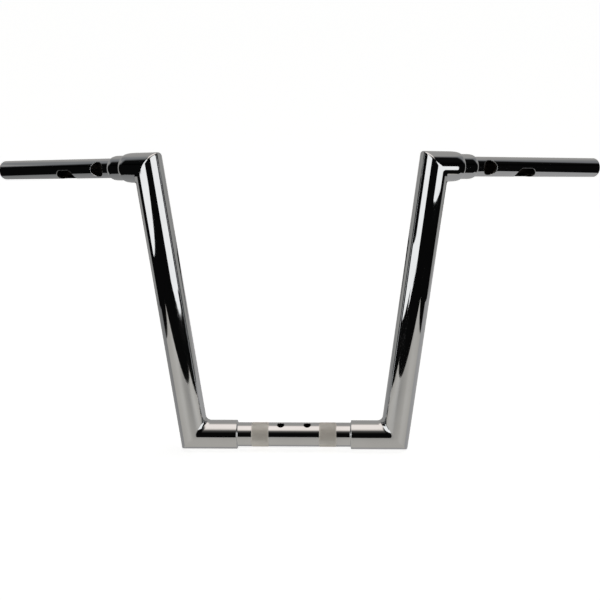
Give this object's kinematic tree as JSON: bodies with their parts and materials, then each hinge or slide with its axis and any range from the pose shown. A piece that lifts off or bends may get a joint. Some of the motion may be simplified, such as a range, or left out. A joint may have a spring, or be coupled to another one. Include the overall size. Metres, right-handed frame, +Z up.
{
  "type": "motorcycle handlebar",
  "caption": "Tall fat-tube motorcycle handlebar with mitred corners, stepped grip ends swept back, knurled riser bands and wire openings, chrome plated.",
  "frame": {"origin": "on the centre tube's axis, midway between the two riser bands", "axes": "+X across the motorcycle along the centre tube, +Y back towards the rider, +Z up, in the plane of the uprights"},
  "size_m": [0.8188, 0.1903, 0.3956],
  "materials": {
    "polished_chrome": "mirror-polished chrome plate over steel tube",
    "knurled_chrome": "polished chrome plate, knurled where the risers clamp",
    "weld_chrome": "weld metal ground smooth, polished and chrome plated"
  },
  "bodies": {
    "root": {"clamp_tube": "knurled_chrome", "left_lower_sleeve": "polished_chrome", "left_upright": "polished_chrome", "left_upper_stub": "polished_chrome", "left_step_collar": "polished_chrome", "left_grip_tube": "polished_chrome", "right_lower_sleeve": "polished_chrome", "right_upright": "polished_chrome", "right_upper_stub": "polished_chrome", "right_step_collar": "polished_chrome", "right_grip_tube": "polished_chrome", "left_lower_mitre_weld": "weld_chrome", "left_upper_mitre_weld": "weld_chrome", "right_lower_mitre_weld": "weld_chrome", "right_upper_mitre_weld": "weld_chrome", "left_sleeve_weld": "weld_chrome", "left_stub_weld": "weld_chrome", "left_collar_weld": "weld_chrome", "right_sleeve_weld": "weld_chrome", "right_stub_weld": "weld_chrome", "right_collar_weld": "weld_chrome"}
  },
  "joints": []
}
